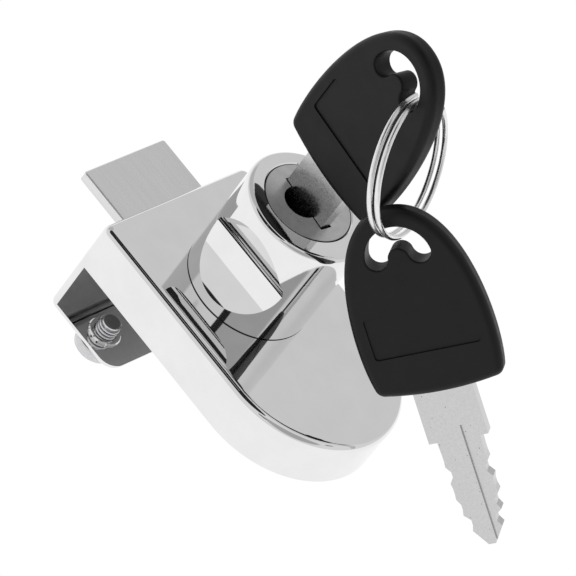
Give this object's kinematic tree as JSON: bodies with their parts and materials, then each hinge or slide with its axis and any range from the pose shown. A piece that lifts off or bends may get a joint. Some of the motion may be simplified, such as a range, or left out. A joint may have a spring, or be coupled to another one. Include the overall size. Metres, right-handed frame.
{
  "type": "glass door lock",
  "caption": "Key lock that clamps on the edge of a glass showcase door: D-shaped case with a folded clamp leg, flat sliding bolt, scooped round turret, and keys on a split ring.",
  "frame": {"origin": "on the plug's axis, in the face of the rubber pad that sits on the glass", "axes": "+Z out of the door, along the plug's axis; +X along the door, from the bolt towards the case's round end; +Y across the case, upright to both"},
  "size_m": [0.0874, 0.035, 0.0827],
  "materials": {
    "case_chrome": "polished chrome plating on a zinc die casting",
    "turret_chrome": "polished chrome plating on a zinc die casting",
    "steel": "plain zinc-plated steel",
    "cover_steel": "stamped, satin",
    "pad_rubber": "matt grey",
    "guide_nylon": "natural nylon",
    "plug_nickel": "satin nickel plating",
    "wafer_brass": "stamped",
    "spring_steel": "bright spring steel",
    "cam_steel": "stamped, zinc plated",
    "bolt_steel": "satin nickel plating",
    "screw_steel": "bright nickel plating",
    "tip_plastic": "dark, matt",
    "key_nickel": "nickel plating, fine satin",
    "bow_plastic": "moulded, satin black",
    "ring_chrome": "bright nickel-plated wire"
  },
  "bodies": {
    "lock": {"housing": "case_chrome", "turret": "turret_chrome", "turret_screws": "steel", "back_cover": "cover_steel", "cover_screws": "steel", "glass_pad": "pad_rubber", "bolt_guide": "guide_nylon"},
    "plug": {"plug": "plug_nickel", "plug_clip": "spring_steel", "drive_cam": "cam_steel", "cam_screw": "steel", "wafer_spring_1": "spring_steel", "wafer_spring_2": "spring_steel", "wafer_spring_3": "spring_steel", "wafer_spring_4": "spring_steel", "wafer_spring_5": "spring_steel"},
    "wafers_left": {"wafer_1": "wafer_brass", "wafer_3": "wafer_brass", "wafer_5": "wafer_brass"},
    "wafers_right": {"wafer_2": "wafer_brass", "wafer_4": "wafer_brass"},
    "bolt": {"bolt": "bolt_steel"},
    "clamp_near": {"clamp_screw_near": "screw_steel", "screw_tip_near": "tip_plastic"},
    "clamp_far": {"clamp_screw_far": "screw_steel", "screw_tip_far": "tip_plastic"},
    "key": {"key_blade": "key_nickel", "key_bow": "bow_plastic"},
    "ring": {"split_ring": "ring_chrome"},
    "spare_key": {"spare_key_blade": "key_nickel", "spare_key_bow": "bow_plastic"}
  },
  "joints": [
    {"name": "plug_turn", "type": "hinge", "parent": "lock", "child": "plug", "pos_m": [0, 0, 0.02], "axis": [0, 0, -1], "range_deg": [0, 90]},
    {"name": "bolt_throw", "type": "slide", "parent": "lock", "child": "bolt", "axis": [1, 0, 0], "range_m": [0, 0.01061]},
    {"name": "key_pull", "type": "slide", "parent": "plug", "child": "key", "axis": [0, 0, 1], "range_m": [0, 0.026]},
    {"name": "wafers_left_slide", "type": "slide", "parent": "plug", "child": "wafers_left", "axis": [-0.9936, 0.1132, 0], "range_m": [0, 0.0008]},
    {"name": "wafers_right_slide", "type": "slide", "parent": "plug", "child": "wafers_right", "axis": [0.9936, -0.1132, 0], "range_m": [0, 0.0008]},
    {"name": "ring_turn", "type": "hinge", "parent": "key", "child": "ring", "pos_m": [0.00941, -0.00108, 0.05174], "axis": [-0.8378, -0.192, -0.5111], "range_deg": [0, 40]},
    {"name": "spare_swing", "type": "hinge", "parent": "ring", "child": "spare_key", "pos_m": [0.01553, -0.00432, 0.04293], "axis": [-0.0033, 0.9379, -0.3468], "range_deg": [-10, 15]},
    {"name": "clamp_near_out", "type": "slide", "parent": "lock", "child": "clamp_near", "axis": [0, 0, -1], "range_m": [0, 0.0029]},
    {"name": "clamp_far_out", "type": "slide", "parent": "lock", "child": "clamp_far", "axis": [0, 0, -1], "range_m": [0, 0.0029]}
  ],
  "couplings": [
    {"joint": "bolt_throw", "follows": "plug_turn", "m_per_rad": 0.0067526},
    {"joint": "wafers_left_slide", "follows": "key_pull", "ratio": 0.030769},
    {"joint": "wafers_right_slide", "follows": "key_pull", "ratio": 0.030769}
  ]
}
